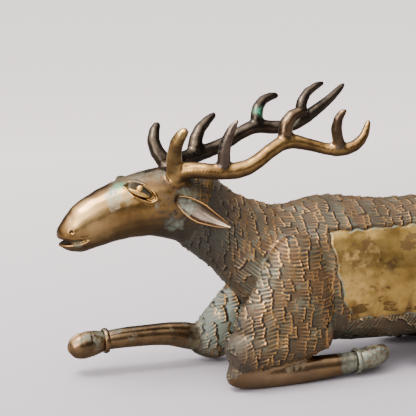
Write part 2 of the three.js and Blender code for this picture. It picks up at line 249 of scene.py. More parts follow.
def share_of(points, quads, chosen, steps):
    """How much of each point's neighbourhood is in the chosen quads, blurred over steps."""
    count = np.maximum(np.bincount(quads.ravel(), minlength=len(points)), 1)
    face = chosen.astype(float)
    for _ in range(steps + 1):
        share = np.bincount(quads.ravel(), np.repeat(face, 4), len(points)) / count
        face = share[quads].mean(axis=1)
    return share


def fillet(points, quads, owner):
    """Rounds off the creases where the castings meet, and the fold of the left knee."""
    count = np.maximum(np.bincount(quads.ravel(), minlength=len(points)), 1)
    tag = np.repeat(owner.astype(float), 4)
    mean = np.bincount(quads.ravel(), tag, len(points)) / count
    spread = np.bincount(quads.ravel(), tag**2, len(points)) / count - mean**2
    mixed = (spread > 0.001)[quads].any(axis=1)
    seam = np.clip(2.5 * share_of(points, quads, mixed, 3), 0, 1)
    fold_x, _, fold_z = spot("foreleg_left_upper", (0, 0.5, 0), (-6, 0, -0.5))
    fold = bell(np.hypot(points[:, 0] - fold_x, points[:, 2] - fold_z), 9)
    fold = fold * (points[:, 1] < -15)
    middle = averager(quads, len(points))
    for step in range(FOLD_STEPS):
        share = seam if step < SEAM_STEPS else fold
        points = points + 0.5 * share[:, None] * (middle(points) - points)
    return points


def rounded_skin(names, cell, steps):
    """The joined outsides of the named solids, rounded off on a grid whose cells are halved.

    Returns points, quads and each quad's place in names.
    """
    points, triangles, owners = solid_arrays(names)
    tree = BVHTree.FromPolygons(points.tolist(), triangles.tolist())
    outside = open_triangles(points, triangles, tree)
    shell = BVHTree.FromPolygons(points.tolist(), triangles[outside].tolist())
    source = new_object("source", points, triangles)
    grid = source.modifiers.new("grid", "REMESH")
    grid.mode = "VOXEL"
    grid.voxel_size = cell * MM
    points, quads = after_modifiers(source)
    found = [shell.find_nearest(Vector(middle)) for middle in points[quads].mean(axis=1)]
    keep = np.array([hit[3] for hit in found]) < SKIN_REACH
    nearest = np.array([hit[2] for hit in found])[keep]
    points, quads, _ = compact(points, quads[keep])
    owner = owners[outside][nearest]
    points = relax(points, quads, steps, np.ones(len(points)))
    shank = np.array([name in SHANK_NODES for name in names])[owner]
    points = relax(points, quads, 60, share_of(points, quads, shank, 0))
    points = fillet(points, quads, owner)
    points, quads, owner = halved(points, quads, owner)
    return relax(points, quads, 4, np.ones(len(points))), quads, owner


def blend(start, end, value):
    """0 at start, 1 at end, and smooth in between."""
    share = np.clip((value - start) / (end - start), 0, 1)
    return share * share * (3 - 2 * share)


def bell(distance, width):
    """1 where the distance is 0, fading out over about the width on both sides."""
    return np.exp(-((distance / width) ** 2))


def ripple(points, pitch, seed):
    """Smooth lumps between about -1 and 1: a fixed sum of sines in several directions."""
    rng = np.random.default_rng(seed)
    total = np.zeros(len(points))
    for octave in range(7):
        direction = rng.normal(size=3)
        direction /= np.linalg.norm(direction)
        turn = 2 * math.pi / (pitch * (0.7 + 0.12 * octave))
        total += np.sin(points @ direction * turn + rng.uniform(0, 6.28))
    return total / 3.2


# ------------------------------------------------------------------ fur
class FurMap:
    """Overlapping tufts on a flat sheet: x runs with the fur, y across it, millimetres."""

    CELL = 0.4

    def __init__(self, low, high, tuft, seed):
        self.low = np.array(low, float)
        shape = tuple(int((b - a) / self.CELL) for a, b in zip(low, high))
        self.height = np.zeros(shape)
        self.crest = np.zeros(shape)
        self.tone = np.full(shape, 0.5)
        rng = np.random.default_rng(seed)
        row = low[0] - tuft["long"]
        while row < high[0]:
            across = low[1] - rng.uniform(0, 10)
            while across < high[1]:
                strands = int(rng.choice([2, 2, 3, 3, 4, 4, 5]))
                width = strands * tuft["strand"] * rng.uniform(0.9, 1.1)
                centre = (row + rng.normal(0, 0.24) * tuft["long"], across + width / 2)
                long = tuft["long"] * rng.uniform(1.05, 1.5)
                self._stamp(centre, (long, width), strands, tuft, rng)
                across += width
            row += tuft["long"] * 0.92
        self.gap = self._gaps()

    def _gaps(self):
        """Painted shade: how much each place lies close under a taller neighbour, mostly one before
        it.
        """
        tallest = self.height.copy()
        for back in (1, 2, 3, 4):
            tallest[back:] = np.maximum(tallest[back:], self.height[:-back])
        beside = self.height.copy()
        for over in (1, 2, 3, 4):
            beside[:, over:] = np.maximum(beside[:, over:], self.height[:, :-over])
            beside[:, :-over] = np.maximum(beside[:, :-over], self.height[:, over:])
        cliff = np.clip((tallest - self.height - 0.7) / 0.8, 0, 1)
        groove = np.clip((beside - self.height - 0.4) / 1.0, 0, 1)
        return np.maximum(cliff, 0.62 * groove)

    def _stamp(self, centre, size, strands, tuft, rng):
        """Lays one tuft: it climbs to a lip at its tip, is cut into strands, and drops off."""
        reach = math.hypot(*size) / 2 + 1
        first = np.maximum(((np.array(centre) - reach - self.low) / self.CELL).astype(int), 0)
        last = ((np.array(centre) + reach - self.low) / self.CELL).astype(int)
        last = np.minimum(last, self.height.shape)
        if np.any(first >= last):
            return
        x = (np.arange(first[0], last[0]) * self.CELL + self.low[0] - centre[0])[:, None]
        y = (np.arange(first[1], last[1]) * self.CELL + self.low[1] - centre[1])[None, :]
        turn = rng.normal(0, 0.1)
        run = (x * math.cos(turn) + y * math.sin(turn)) / size[0] + 0.5
        side = (y * math.cos(turn) - x * math.sin(turn)) / size[1] + 0.5
        side = side + rng.normal(0, 0.035) * np.sin(2 * math.pi * side)
        strand = np.clip((side * strands).astype(int), 0, strands - 1)
        tip = 1 + rng.normal(0, 0.05, strands)[strand]
        level = rng.uniform(0.7, 1.0, strands)[strand]
        climb = np.clip(run, 0, 1)
        ridge = np.abs(np.sin(math.pi * np.clip(side, 0, 1) * strands)) ** 1.3
        lip = blend(tip - 2.0 / size[0], tip - 0.8 / size[0], run)
        rise = tuft["rise"] * rng.uniform(0.5, 1.2)
        tall = rise * level * (0.1 + 0.9 * climb) + 0.2 * lip
        tall -= tuft["groove"] * (1 - ridge) * (0.5 + 0.5 * climb) * (1 - 0.75 * lip)
        tall *= np.clip((tip - run) * size[0] / 0.4, 0, 1) ** 0.5
        edge = np.minimum(side, 1 - side) * size[1]
        tall *= np.clip(edge / 0.6, 0, 1) ** 0.4
        inside = (run > 0) & (run < tip) & (side > 0) & (side < 1)
        tall = np.where(inside, tall, -1)
        window = (slice(first[0], last[0]), slice(first[1], last[1]))
        higher = tall > self.height[window]
        crest = np.clip(ridge**4 * (0.15 + 0.6 * climb) + 0.8 * lip, 0, 1)
        self.height[window] = np.where(higher, tall, self.height[window])
        self.crest[window] = np.where(higher, crest, self.crest[window])
        self.tone[window] = np.where(higher, rng.uniform(0, 1), self.tone[window])

    def at(self, along, across):
        """Height, crest, tone and gap at each place, each as an array."""
        x = np.clip((along - self.low[0]) / self.CELL, 0, self.height.shape[0] - 1.01)
        y = np.clip((across - self.low[1]) / self.CELL, 0, self.height.shape[1] - 1.01)
        i, j = x.astype(int), y.astype(int)
        u, v = x - i, y - j
        found = []
        for grid in (self.height, self.crest, self.tone, self.gap):
            low = grid[i, j] * (1 - v) + grid[i, j + 1] * v
            high = grid[i + 1, j] * (1 - v) + grid[i + 1, j + 1] * v
            found.append(low * (1 - u) + high * u)
        return found


def trunk_sections():
    """The trunk's middle height, half height and half width along X, from its solids."""
    points, triangles, _ = solid_arrays(["head", "body_shell"] + PLATE_NODES)
    low, high = points[:, 0].min(), points[:, 0].max()
    places = np.arange(low + 6, high - 6, TRUNK_STEP)
    edges = np.concatenate([triangles[:, [0, 1]], triangles[:, [1, 2]], triangles[:, [2, 0]]])
    a, b = points[edges[:, 0]], points[edges[:, 1]]
    rows = []
    for place in places:
        crossing = (a[:, 0] - place) * (b[:, 0] - place) < 0
        p, q = a[crossing], b[crossing]
        share = ((place - p[:, 0]) / (q[:, 0] - p[:, 0]))[:, None]
        cut = p + share * (q - p)
        top, bottom = cut[:, 2].max(), cut[:, 2].min()
        rows.append(((top + bottom) / 2, (top - bottom) / 2, np.abs(cut[:, 1]).max()))
    return places, np.array(rows)


PLACES, SECTIONS = trunk_sections()
SLOPE = np.gradient(SECTIONS[:, 0], PLACES)
RUN = np.concatenate([[0], np.cumsum(np.hypot(1, SLOPE)[1:] * np.diff(PLACES))])


def trunk_coordinates(points):
    """Distance along the trunk, distance round it from the flank's middle, and the angle."""
    x = points[:, 0]
    middle = np.interp(x, PLACES, SECTIONS[:, 0])
    tall = np.interp(x, PLACES, SECTIONS[:, 1])
    wide = np.interp(x, PLACES, SECTIONS[:, 2])
    angle = np.arctan2((points[:, 2] - middle) / tall, np.abs(points[:, 1]) / wide)
    around = angle * np.sqrt((tall + wide) / 2 * TRUNK_RADIUS)
    return np.interp(x, PLACES, RUN), around, angle


def plate_depth(points):
    """Signed distance inside the flank plates' outline in side view; negative is outside."""
    x, z = points[:, 0], points[:, 2]
    wave = 0.9 * np.sin(z / 4.3) + 0.5 * np.sin(z / 2.1 + 1)
    scallop = 1.3 * np.abs(np.sin(x / 6.2)) + 0.4 * np.sin(x / 2.3)
    front_corner = spot("flank_plate_left", (0, 0.5, 1))[[0, 2]]
    back_corner = spot("flank_plate_left", (1, 0.5, 1))[[0, 2]]
    front = np.array(PLATE_FRONT[::-1]) + front_corner
    back = np.array(PLATE_BACK[::-1]) + back_corner
    from_front = x - np.interp(z, front[:, 1], front[:, 0]) - wave
    from_back = np.interp(z, back[:, 1], back[:, 0]) - x - wave
    from_top = front[-1, 1] + 1 - z - scallop
    from_low = z - front[0, 1] - scallop
    return np.minimum.reduce([from_front, from_back, from_top, from_low])


def thigh_coordinates(points):
    """Along and across the folded legs: the fur runs level, and climbs round the knee."""
    x = points[:, 0]
    knee = np.interp(x, [-105, -85, -68, -50, -10, 30], [-20, -10, -2.5, 1, -3, -6])
    haunch = np.interp(x, [110, 150, 180, 215], [-4, 0, 3, 10])
    return x, points[:, 2] - np.where(x < 80, knee, haunch)


def elbow_of(points):
    """Where the left foreleg's bare elbow is, and the raised edge along its front."""
    middle = spot("flank_plate_left", (0, 0.5, 0), (5, 0, -7))
    x, z = points[:, 0] - middle[0], points[:, 2] - middle[2]
    away = np.hypot(x * 1.05, z * 0.8)
    left = points[:, 1] < -20
    return blend(16, 12, away) * left, bell(away - 16, 1.2) * blend(3, -5, x) * left


def elbow_swell(points):
    """How far the left elbow stands out."""
    middle = spot("flank_plate_left", (0, 0.5, 0), (5, 0, -11))
    away = np.hypot(points[:, 0] - middle[0], points[:, 2] - middle[2])
    return 4.0 * blend(20, 6, away) * (points[:, 1] < -20)


def furred(points, on_leg, facing):
    """Height, crest, tone and gap of the fur at every point.

    The coat wraps round the trunk; the legs, belly, breast, rump and left knee's front each
    have fur that runs their own way.
    """
    along, around, angle = trunk_coordinates(points)
    x, z = points[:, 0], points[:, 2]
    wander = 2.2 * ripple(points, 60, 5) + 0.35 * ripple(points, 9, 9)
    other_side = np.where(points[:, 1] < 0, 0, OTHER_SIDE)
    coat = FurMap((60, -118), (560, 348), TUFT, seed=11)
    legs = FurMap((-115, -30), (235, 370), LEG_TUFT, seed=41)
    belly = FurMap((-175, -30), (5, 235), BELLY_TUFT, seed=31)
    breast = FurMap((-160, -70), (-40, 90), BREAST_TUFT, seed=51)
    mixed = coat.at(along + 0.4 * wander, around + wander + other_side)
    run, side = thigh_coordinates(points)
    hanging = (z < 54 + 0.5 * wander) & (x > 30) & (angle < 0)
    fanned = (x < -50 + wander) & (z < 116 + 2 * wander) & (x + 0.2 * z > -52) & (angle < 0)
    layers = (
        (belly.at(-0.4 * x - 0.92 * z, 0.92 * x - 0.4 * z), hanging),
        (breast.at(0.80 * x - 0.60 * z, 0.60 * x + 0.80 * z), fanned),
        (legs.at(run + 0.5 * wander, side + 0.5 * wander + other_side), on_leg),
        (legs.at(210 - z, points[:, 1] + 280), (x > 170) & (facing[:, 0] > 0.62)),
        (legs.at(150 - z, points[:, 1] + 140), (x < -80) & (facing[:, 0] < -0.7) & on_leg),
    )
    for layer, chosen in layers:
        mixed = [np.where(chosen, b, a) for a, b in zip(mixed, layer)]
    elbow, ridge = elbow_of(points)
    mixed[0] = mixed[0] * (1 - 0.65 * elbow) + 0.8 * elbow
    mixed[1] = mixed[1] * (1 - 0.7 * elbow)
    mixed[3] = mixed[3] * (1 - elbow)
    mixed[0] = np.maximum(mixed[0], 2.2 * ridge)
    mixed[1] = np.maximum(mixed[1], ridge)
    return mixed


# ------------------------------------------------------------------ the head's features
def eye_middle(side):
    """The middle of the almond, a little behind and below the middle of the eye's solid."""
    return spot(f"eye_{side}", 0.5, (1.0, 0, -3.2))


def eye_run_and_drop(gap):
    """Along the eye from its inner corner to its outer one, and up across it."""
    level, steep = EYE_SLOPE
    return gap[:, 0] * level - gap[:, 2] * steep, gap[:, 0] * steep + gap[:, 2] * level


def inside_eyelids(run, drop):
    """Distance inside the almond between the lids; negative outside it."""
    end = UPPER_LID[0][-1]
    upper = np.interp(run, *UPPER_LID)
    lower = np.interp(run, *LOWER_LID)
    beyond = np.hypot(np.maximum(np.abs(run) - end, 0), drop + np.where(run < 0, 1, -0.5))
    inside = np.minimum(upper - drop, drop - lower)
    return np.where(np.abs(run) > end, -beyond, inside)


def carve_head(points):
    """How far the head's points move, how much painted shade they get in hollows and how rubbed
    they are.
    """
    shift = np.zeros(len(points))
    # dark is painted shade in the eye sockets, the nostrils and the mouth
    dark = np.zeros(len(points))
    rub = np.zeros(len(points))
    nose_x, _, chin_z = spot("head", (0, 0.5, 0))
    x, z = points[:, 0] - nose_x, points[:, 2] - chin_z
    for side, sign in SIDES.items():
        near = points[:, 1] * sign > 3
        run, drop = eye_run_and_drop(points - eye_middle(side))
        inside = inside_eyelids(run, drop)
        socket = blend(-0.4, 1.8, inside) * near
        rim = bell(inside + 0.6, 1.1) * near
        shift += -2.2 * socket + 0.9 * rim
        dark = np.maximum(dark, 0.3 * socket)
        rub = np.maximum(rub, 0.5 * rim * blend(-8, 2, run))
        away = np.where(near, np.hypot(x - 9.5, z - 21.5), 99)
        shift += 1.2 * bell(away, 3.4) - 2.4 * bell(away, 1.2)
        dark = np.maximum(dark, 0.8 * bell(away, 1.4))
    lip_high = np.interp(x, [6, 17, 27], [12.0, 14.2, 14.8])
    lip_low = np.interp(x, [6, 17, 24, 27], [8.8, 9.8, 13.0, 14.7])
    between = np.minimum(lip_high - z, z - lip_low)
    reach = blend(27.5, 22, x)
    mouth = blend(-0.5, 1.2, between) * reach
    shift += -2.0 * mouth + 0.9 * bell(z - lip_low + 1.3, 1.2) * reach
    shift += 0.8 * bell(z - lip_high - 1.5, 1.8) * reach
    dark = np.maximum(dark, 0.4 * mouth)
    shift += 0.8 * bell(z - 19, 5) * bell(x, 7)
    shift += 0.2 * ripple(points, 19, 8)
    return shift, dark, rub


# ------------------------------------------------------------------ materials
class Nodes:
    """A new material, with short ways to add shader nodes to it."""

    def __init__(self, name):
        self.material = bpy.data.materials.new(name)
        self.material.use_nodes = True
        self.tree = self.material.node_tree
        self.shader = self.tree.nodes["Principled BSDF"]
        self.position = self.tree.nodes.new("ShaderNodeTexCoord").outputs["Object"]
        split = self.tree.nodes.new("ShaderNodeSeparateXYZ")
        self.link(self.position, split.inputs[0])
        self.x, self.y, self.z = split.outputs
        join = self.tree.nodes.new("ShaderNodeCombineXYZ")
        self.link(self.x, join.inputs[0])
        self.link(self.math("ABSOLUTE", self.y), join.inputs[1])
        self.link(self.z, join.inputs[2])
        self.folded = join.outputs[0]

    def link(self, value, socket):
        """Joins an output to the socket, or sets the socket to a plain value."""
        if isinstance(value, bpy.types.NodeSocket):
            self.tree.links.new(value, socket)
        else:
            socket.default_value = value

    def value(self, name):
        """One of the values that add_casting gives each point."""
        node = self.tree.nodes.new("ShaderNodeAttribute")
        node.attribute_name = name
        return node.outputs["Fac"]

    def noise(self, size_mm, detail=4.0, rough=0.6, stretch=(1, 1, 1), shift=0.0):
        mapping = self.tree.nodes.new("ShaderNodeMapping")
        mapping.inputs["Scale"].default_value = stretch
        mapping.inputs["Location"].default_value = (shift, shift, shift)
        self.link(self.position, mapping.inputs["Vector"])
        node = self.tree.nodes.new("ShaderNodeTexNoise")
        node.inputs["Scale"].default_value = 1000 / size_mm
        node.inputs["Detail"].default_value = detail
        node.inputs["Roughness"].default_value = rough
        self.link(mapping.outputs[0], node.inputs["Vector"])
        return node.outputs["Fac"]

    def ramp(self, value, low, high, out=(0.0, 1.0), shape="SMOOTHSTEP"):
        node = self.tree.nodes.new("ShaderNodeMapRange")
        node.interpolation_type = shape
        self.link(value, node.inputs["Value"])
        for name, limit in zip(("From Min", "From Max", "To Min", "To Max"), (low, high, *out)):
            node.inputs[name].default_value = limit
        return node.outputs["Result"]

    def math(self, operation, a, b=0.0):
        node = self.tree.nodes.new("ShaderNodeMath")
        node.operation = operation
        self.link(a, node.inputs[0])
        self.link(b, node.inputs[1])
        return node.outputs[0]

    def times(self, a, b):
        return self.math("MULTIPLY", a, b)

    def mix(self, share, a, b):
        node = self.tree.nodes.new("ShaderNodeMix")
        node.data_type = "RGBA"
        self.link(share, node.inputs[0])
        self.link(a, node.inputs[6])
        self.link(b, node.inputs[7])
        return node.outputs[2]

    def near(self, place, radius, soft, both_sides=True, ragged=0.5):
        """1 inside a ball round a place, fading to 0 over soft millimetres, with a ragged edge.

        The ball is on both flanks, or only where the place is.
        """
        if both_sides:
            place = (place[0], abs(place[1]), place[2])
        node = self.tree.nodes.new("ShaderNodeVectorMath")
        node.operation = "DISTANCE"
        self.link(self.folded if both_sides else self.position, node.inputs[0])
        node.inputs[1].default_value = [c * MM for c in place]
        reach = ragged * soft * MM
        wobble = self.ramp(self.noise(9, 5.0), 0.3, 0.7, (-reach, reach))
        away = self.math("ADD", node.outputs["Value"], wobble)
        return self.ramp(away, (radius + soft) * MM, radius * MM)

    def finish(self, color, rough, metal, grain_mm=1.4, bump=0.2):
        """Joins the shader's inputs, adds a fine cast grain, and gives the material back."""
        self.link(color, self.shader.inputs["Base Color"])
        self.link(rough, self.shader.inputs["Roughness"])
        self.link(metal, self.shader.inputs["Metallic"])
        node = self.tree.nodes.new("ShaderNodeBump")
        node.inputs["Strength"].default_value = bump
        node.inputs["Distance"].default_value = 0.3 * MM
        self.link(self.noise(grain_mm, 3.0), node.inputs["Height"])
        self.tree.links.new(node.outputs["Normal"], self.shader.inputs["Normal"])
        return self.material


INK = (0.012, 0.010, 0.008, 1)
DARK = (0.028, 0.022, 0.017, 1)
BROWN = (0.11, 0.056, 0.022, 1)
OLIVE = (0.075, 0.056, 0.028, 1)
PATINA = (0.14, 0.15, 0.105, 1)
PALE = (0.27, 0.31, 0.25, 1)
GREEN = (0.03, 0.20, 0.11, 1)
COPPER = (0.68, 0.36, 0.13, 1)
GOLD = (0.58, 0.34, 0.12, 1)
MOSS = (0.07, 0.07, 0.05, 1)
GREY_GOLD = (0.24, 0.21, 0.145, 1)


def fur_material():
    """Dark bronze with clouds of patina, rubbed to copper on the strands and tufts' tips."""
    n = Nodes("fur_bronze")
    low_x, _, low_z = spot("flank_plate_left", 0) * MM
    top_z = spot("flank_plate_left", 1)[2] * MM
    throat_x = spot("body_shell", 0)[0] * MM
    crest = n.value("crest")
    base = n.mix(n.ramp(n.noise(24, 5.0), 0.38, 0.62), OLIVE, BROWN)
    cloud = n.ramp(n.noise(15, 6.0, 0.65, shift=5.0), 0.53, 0.66, (0.0, 0.7))
    base = n.mix(cloud, base, PATINA)
    base = n.mix(n.ramp(n.value("tone"), 0.75, 1.0, (0.0, 0.4)), base, PATINA)
    grey_arm = n.near(spot("foreleg_right_upper", 0.5, (-8, 2, -7)), 26, 14, both_sides=False)
    fan = n.near(spot("foreleg_left_upper", 0.5, (-27, 5, 19)), 12, 16)
    fan = n.times(fan, n.ramp(crest, 0.05, 0.4, (0.1, 0.7)))
    base = n.mix(n.math("MAXIMUM", grey_arm, fan), base, PALE)
    neck = n.ramp(n.x, throat_x + 0.07, throat_x + 0.02)
    base = n.mix(n.times(neck, 0.75), base, DARK)
    wear = n.ramp(n.noise(34, 3.0, shift=2.0), 0.3, 0.6, (0.35, 1.0))
    wear = n.times(wear, n.ramp(neck, 0.0, 1.0, (1.0, 0.6)))
    rubbed = n.times(n.ramp(crest, 0.15, 0.8), wear)
    worn = n.mix(neck, COPPER, GREY_GOLD)
    color = n.mix(rubbed, base, worn)
    fringe = n.ramp(n.z, low_z + 0.003, low_z - 0.003)
    fringe = n.times(fringe, n.ramp(n.x, low_x + 0.008, low_x + 0.018))
    fringe = n.times(fringe, n.ramp(n.x, low_x + 0.058, low_x + 0.018, (0.35, 1.0)))
    color = n.mix(n.times(fringe, n.ramp(crest, 0.1, 0.6)), color, PALE)
    # painted shade: the fur darkens towards the top of the back
    color = n.mix(n.ramp(n.z, top_z - 0.028, top_z + 0.022, (0.0, 0.4)), color, DARK)
    # painted shade on faces that look down
    color = n.mix(n.times(n.value("under"), 0.3), color, DARK)
    # painted shade in the gaps behind the tufts' lips, in the grooves and along the plates' rim
    color = n.mix(n.ramp(n.value("depth"), 0.08, 0.8), color, INK)
    rough = n.ramp(rubbed, 0.0, 1.0, (0.62, 0.3))
    metal = n.ramp(rubbed, 0.0, 0.7, (0.3, 1.0))
    return n.finish(color, rough, metal)


def bronze_material(
    name, tones, clouds=0.2, blotch_mm=22, marks=(), tints=(), worn=GOLD, under_shade=0.85
):
    """Worn bronze between two tones, with cloudy patina, painted shade in hollows and on faces that
    look down, and rubbed edges.

    Each mark and tint is (colour, strength, place, radius, soft) in millimetres. Marks are
    speckled and dull, tints are clear and on both flanks, and a mark is too unless a sixth
    value says False.
    """
    n = Nodes(name)
    low, high = ((*tone, 1) for tone in tones)
    color = n.mix(n.ramp(n.noise(blotch_mm, 6.0, 0.55), 0.35, 0.65), low, high)
    dull = n.noise(blotch_mm * 1.4, 8.0, 0.7, shift=7.0)
    dull = n.ramp(dull, 0.68 - 0.3 * clouds, 0.8 - 0.3 * clouds)
    color = n.mix(n.times(dull, 0.8), color, PATINA)
    under = n.value("under")
    # painted shade: faces that look down are darkened, as much as under_shade says
    color = n.mix(n.times(under, under_shade), color, (0.04, 0.028, 0.02, 1))
    speckle = n.ramp(n.noise(3.5, 4.0, 0.7, shift=11.0), 0.4, 0.62, (0.45, 1.0))
    for tint, strength, place, radius, soft in tints:
        share = n.times(n.near(place, radius, soft, ragged=0.1), strength)
        color = n.mix(share, color, tint)
    for tint, strength, *ball in marks:
        mark = n.times(n.times(n.near(*ball), strength), speckle)
        color = n.mix(mark, color, tint)
        dull = n.math("MAXIMUM", dull, mark)
    color = n.mix(n.ramp(n.value("crest"), 0.2, 0.9), color, worn)
    # painted shade in hollows
    color = n.mix(n.ramp(n.value("depth"), 0.25, 0.9), color, INK)
    rough = n.ramp(n.math("MAXIMUM", dull, under), 0.0, 1.0, (0.26, 0.6))
    shine = n.ramp(dull, 0.0, 1.0, (1.0, 0.4))
    return n.finish(color, rough, shine, grain_mm=2.2, bump=0.15)


def plate_material():
    """Golden brass with brown stains and streaks, a painted highlight, pits and a crusted edge."""
    n = Nodes("plate_brass")
    corner = spot("flank_plate_right", (0, 1, 1))
    low_z = spot("flank_plate_right", 0)[2] * MM
    color = n.ramp(n.noise(30, 5.0), 0.35, 0.6)
    color = n.mix(color, (0.33, 0.19, 0.05, 1), (0.56, 0.345, 0.10, 1))
    stain = n.noise(17, 6.0, 0.6, stretch=(0.7, 1, 1.3), shift=4.0)
    stain = n.ramp(stain, 0.55, 0.6, (0.0, 0.8))
    color = n.mix(stain, color, (0.13, 0.075, 0.035, 1))
    streak = n.noise(13, 5.0, 0.6, stretch=(1, 1, 0.18), shift=9.0)
    streak = n.ramp(streak, 0.48, 0.7, (0.0, 0.7))
    streak = n.times(streak, n.ramp(n.z, low_z + 0.042, low_z + 0.007))
    color = n.mix(streak, color, (0.11, 0.06, 0.03, 1))
    cloud = n.ramp(n.noise(12, 6.0, 0.7, shift=3.0), 0.42, 0.55)
    for place, radius in (((28, 5, -25), 7), ((44, 5, -25), 8), ((60, 5, -28), 7)):
        patch = n.times(n.near(corner + place, radius, 9), cloud)
        color = n.mix(n.times(patch, 0.85), color, (0.12, 0.07, 0.035, 1))
    # painted highlight: a bright gold patch on the front of the plate
    shine = n.times(n.near(corner + (12, 5, -40), 4, 36), 0.75)
    color = n.mix(shine, color, (0.85, 0.54, 0.18, 1))
    pits = n.ramp(n.noise(4.5, 3.0, 0.6, stretch=(1.3, 1, 0.6), shift=1.0), 0.66, 0.7)
    pits = n.times(pits, n.near(corner + (14, 5, -46), 14, 12))
    color = n.mix(pits, color, INK)
    edge = n.value("edge")
    crust = n.ramp(n.noise(7, 5.0), 0.4, 0.62, (0.1, 1.0))
    crust = n.times(n.ramp(edge, 0.05, 0.5), crust)
    color = n.mix(crust, color, (0.22, 0.23, 0.17, 1))
    # painted shade in hollows
    color = n.mix(n.ramp(n.value("depth"), 0.3, 0.8), color, INK)
    rough = n.ramp(n.math("MAXIMUM", crust, stain), 0.0, 1.0, (0.36, 0.6))
    metal = n.ramp(crust, 0.0, 1.0, (1.0, 0.3))
    return n.finish(color, rough, metal, grain_mm=3.0, bump=0.25)


def on_head(behind, out, above):
    """A place that far behind the nose's tip, out from the middle and above the chin."""
    return spot("head", (0, 0.5, 0), (behind, out, above))


HEAD_MARKS = (
    (DARK, 0.95, on_head(117, 20, 30), 22, 22),
    (DARK, 0.9, on_head(121, 10, 58), 12, 14),
    (MOSS, 0.8, on_head(61, 5, 68), 10, 14),
    (PALE, 0.75, on_head(48, 19, 52), 5, 9),
    (PATINA, 0.6, on_head(89, 12, 68), 3, 9),
    (PALE, 0.7, on_head(100, 27, 23), 3, 8),
    (PALE, 0.6, on_head(83, 26, 42), 1, 3),
    (PATINA, 0.9, on_head(111, 24, 44), 4, 10),
    (PATINA, 0.9, on_head(15, 10, 11), 3, 4),
    (GREEN, 0.9, on_head(53, 12, 62), 3, 6),
)
# The first tint is a painted highlight on the side of the muzzle; the second darkens the forehead,
# partly its own dull bronze and partly painted shade that dims its reflection of the light
# overhead; the third darkens the top of the muzzle.
HEAD_TINTS = (
    ((0.72, 0.46, 0.20, 1), 0.6, on_head(26, 16, 35), 4, 26),
    ((0.085, 0.05, 0.028, 1), 0.9, on_head(89, 6, 76), 20, 20),
    ((0.10, 0.055, 0.026, 1), 0.75, on_head(39, 0, 62), 12, 18),
)
LEG_MARKS = (
    (PALE, 0.75, spot("foreleg_left_pastern_ring", 0.5, (-3, 0, 1.5)), 12, 9),
    (PALE, 0.7, spot("foreleg_left_hoof", 0.5, (-1, -1, 1.5)), 10, 8),
    (PATINA, 0.8, spot("foreleg_right_shank", 0.5, (42, 0, -1.5)), 12, 12, False),
)
# painted light: the tint lightens the left foreleg's shank, which lies in the shadow of the body
LEG_TINTS = (
    ((0.34, 0.22, 0.13, 1), 0.45, spot("foreleg_left_shank", 0.5, (-15, 4, -3)), 24, 30),
)
EAR_MARKS = ((PALE, 0.8, spot("ear_left", 0.5, (-12, 2, 5)), 5, 8),)
ANTLER_MARKS = ((GREEN, 0.85, spot("antler_right_third_tine", 0, (7, 8, 11)), 3, 5),)
MATERIALS = {
    "fur": fur_material(),
    "head": bronze_material(
        "head_bronze", ((0.20, 0.10, 0.035), (0.42, 0.235, 0.075)), 0.1, 26, HEAD_MARKS, HEAD_TINTS
    ),
    "polished": bronze_material("polished_bronze", ((0.17, 0.09, 0.033), (0.44, 0.25, 0.085)), 0.1),
    "golden": bronze_material("golden_bronze", ((0.30, 0.175, 0.06), (0.52, 0.33, 0.12)), 0.0),
    "greyed": bronze_material("greyed_bronze", ((0.11, 0.08, 0.065), (0.25, 0.18, 0.14)), 0.3),
    "rough": bronze_material("rough_bronze", ((0.07, 0.045, 0.03), (0.20, 0.12, 0.065)), 0.4),
    "black": bronze_material(
        "black_bronze", ((0.035, 0.028, 0.022), (0.10, 0.072, 0.05)), 0.3, 16, ANTLER_MARKS
    ),
    "plate": plate_material(),
    "ear": bronze_material(
        "ear_bronze", ((0.12, 0.09, 0.068), (0.22, 0.165, 0.12)), 0.2, 14, EAR_MARKS, worn=COPPER
    ),
    "leg": bronze_material(
        "leg_bronze", ((0.105, 0.064, 0.036), (0.25, 0.15, 0.075)), 0.45, 18, LEG_MARKS, LEG_TINTS,
        under_shade=0.3,
    ),
    # the eye's worn colour is a bright gold; on the lower lid and pupil it is partly a painted
    # highlight
    "eye": bronze_material(
        "eye_bronze", ((0.13, 0.12, 0.08), (0.22, 0.20, 0.14)), 0.0, 8, worn=(0.80, 0.50, 0.17, 1)
    ),
}
TINE_LOOKS = {"brow": "golden", "second": "greyed", "third": "rough", "fourth": "rough"}


def look_of(node):
    """The name of the material that a node's casting takes."""
    if node in FUR_NODES:
        return "fur"
    if node in PLATE_NODES:
        return "plate"
    if node.startswith("antler") and node.endswith("_tine"):
        return TINE_LOOKS[node.split("_")[2]] if "left" in node else "black"
    if node.startswith("antler"):
        return "polished" if "left" in node else "black"
    if node.startswith("eye"):
        return "eye"
    if node.startswith("ear"):
        return "ear"
    return "head" if node == "head" else "leg"


def add_casting(node, points, faces, crest=0.0, tone=0.5, depth=0.0, edge=0.0):
    """One casting in place of its solid, with the values that its material reads."""
    obj = new_object(f"{node}_casting", points, faces)
    # under is how far each point faces down; the materials paint shade there
    under = blend(0.25, -0.55, normals(points, faces)[:, 2])
    layers = {"crest": crest, "tone": tone, "depth": depth, "edge": edge, "under": under}
    for name, values in layers.items():
        layer = obj.data.attributes.new(name, "FLOAT", "POINT")
        values = np.broadcast_to(np.asarray(values, np.float32), len(points))
        layer.data.foreach_set("value", np.ascontiguousarray(values))
    look = look_of(node)
    obj.data.materials.append(MATERIALS[look])
    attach(obj, "root")
    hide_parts(node)
    return obj


